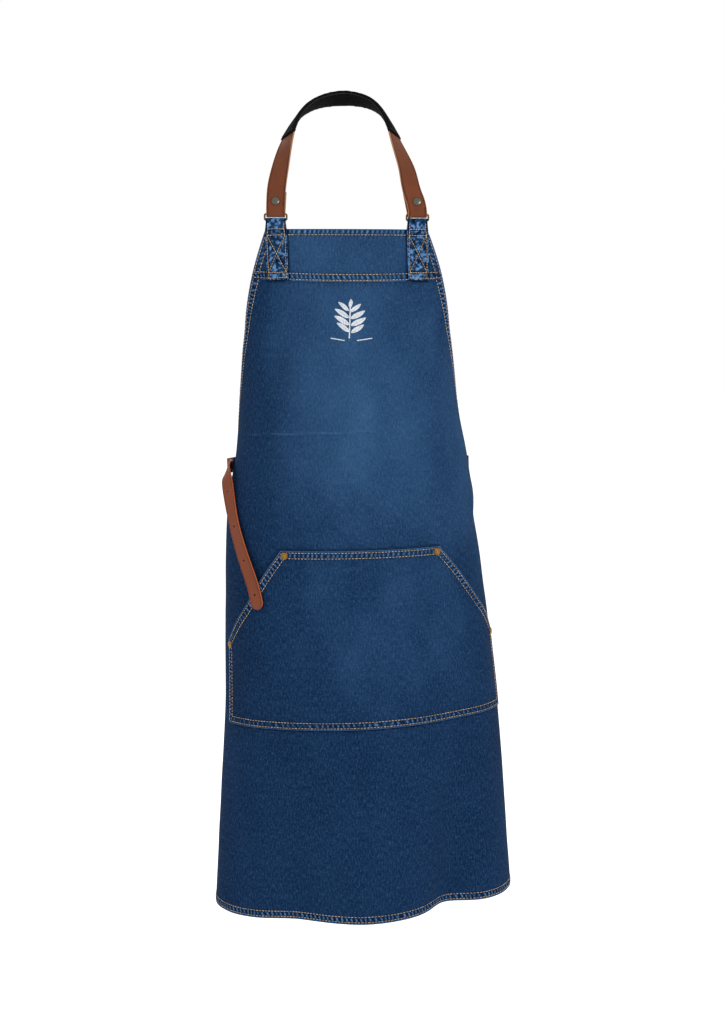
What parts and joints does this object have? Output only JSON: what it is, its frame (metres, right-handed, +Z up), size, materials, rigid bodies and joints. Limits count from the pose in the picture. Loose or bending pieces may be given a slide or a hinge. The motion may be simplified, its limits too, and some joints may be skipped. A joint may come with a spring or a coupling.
{
  "type": "bib apron",
  "caption": "Denim bib apron hanging from a padded leather neck loop, with yoke, kangaroo pocket, ring ends and leather waist straps with a buckle.",
  "frame": {"origin": "middle of the neck pad's inner side, where the loop hangs", "axes": "+Z up, -Y out of the apron's front, +X towards the wearer's left"},
  "size_m": [0.4184, 0.2415, 1.1228],
  "materials": {
    "denim": "worn indigo denim twill with tan topstitching",
    "strap_leather": "smooth tan leather, raw edges",
    "pad_fabric": "matte black padded knit",
    "gunmetal": "gunmetal, satin",
    "brass": "antique brass, worn",
    "steel": "antique nickel wire"
  },
  "bodies": {
    "neck_loop": {"neck_strap": "strap_leather", "neck_pad": "pad_fabric", "neck_snap_caps": "gunmetal", "neck_snap_sockets": "gunmetal", "neck_snap_studs": "gunmetal", "neck_snap_posts": "gunmetal"},
    "ring_neck_left": {"neck_ring_left": "steel"},
    "ring_neck_right": {"neck_ring_right": "steel"},
    "apron": {"body_panel": "denim", "bib_yoke": "denim", "pocket_panel": "denim", "neck_tab_left": "denim", "neck_tab_right": "denim", "waist_tab_left": "denim", "waist_tab_right": "denim", "pocket_rivet_caps": "brass", "pocket_rivet_backs": "brass"},
    "ring_waist_left": {"waist_ring_left": "steel"},
    "ring_waist_right": {"waist_ring_right": "steel"},
    "tie_left": {"waist_strap_left": "strap_leather", "waist_left_snap_cap": "gunmetal", "waist_left_snap_socket": "gunmetal", "waist_left_snap_stud": "gunmetal", "waist_left_snap_post": "gunmetal"},
    "tie_right": {"waist_strap_right": "strap_leather", "buckle_rivet": "gunmetal", "buckle_keeper": "strap_leather", "waist_right_snap_cap": "gunmetal", "waist_right_snap_socket": "gunmetal", "waist_right_snap_stud": "gunmetal", "waist_right_snap_post": "gunmetal"},
    "buckle": {"buckle_frame": "gunmetal"},
    "prong": {"buckle_prong": "gunmetal"}
  },
  "joints": [
    {"name": "neck_ring_left_swing", "type": "hinge", "parent": "neck_loop", "child": "ring_neck_left", "pos_m": [-0.093, -0.1345, -0.1638], "axis": [1, 0, 0], "range_deg": [-25, 25]},
    {"name": "neck_ring_right_swing", "type": "hinge", "parent": "neck_loop", "child": "ring_neck_right", "pos_m": [0.093, -0.1345, -0.1638], "axis": [1, 0, 0], "range_deg": [-25, 25]},
    {"name": "apron_swing", "type": "hinge", "parent": "ring_neck_left", "child": "apron", "pos_m": [-0.093, -0.1345, -0.1713], "axis": [1, 0, 0], "range_deg": [-20, 20]},
    {"name": "waist_ring_left_swing", "type": "hinge", "parent": "apron", "child": "ring_waist_left", "pos_m": [-0.13666, -0.00957, -0.50088], "axis": [0, 0, -1], "range_deg": [0, 90]},
    {"name": "waist_strap_left_swing", "type": "hinge", "parent": "ring_waist_left", "child": "tie_left", "pos_m": [-0.14609, -0.00494, -0.50088], "axis": [0, 0, -1], "range_deg": [0, 110]},
    {"name": "waist_ring_right_swing", "type": "hinge", "parent": "apron", "child": "ring_waist_right", "pos_m": [0.15625, -0.00811, -0.49913], "axis": [0, 0, -1], "range_deg": [0, 100]},
    {"name": "waist_strap_right_swing", "type": "hinge", "parent": "ring_waist_right", "child": "tie_right", "pos_m": [0.147, -0.00314, -0.49913], "axis": [0, 0, -1], "range_deg": [0, 60]},
    {"name": "buckle_tilt", "type": "hinge", "parent": "tie_right", "child": "buckle", "pos_m": [0.09044, 0.02724, -0.75313], "axis": [0.473, 0.881, 0], "range_deg": [-30, 30]},
    {"name": "prong_swing", "type": "hinge", "parent": "buckle", "child": "prong", "pos_m": [0.09044, 0.02724, -0.75313], "axis": [0.473, 0.881, 0], "range_deg": [0, 70]}
  ],
  "couplings": [
    {"joint": "neck_ring_right_swing", "follows": "neck_ring_left_swing", "ratio": 1}
  ]
}
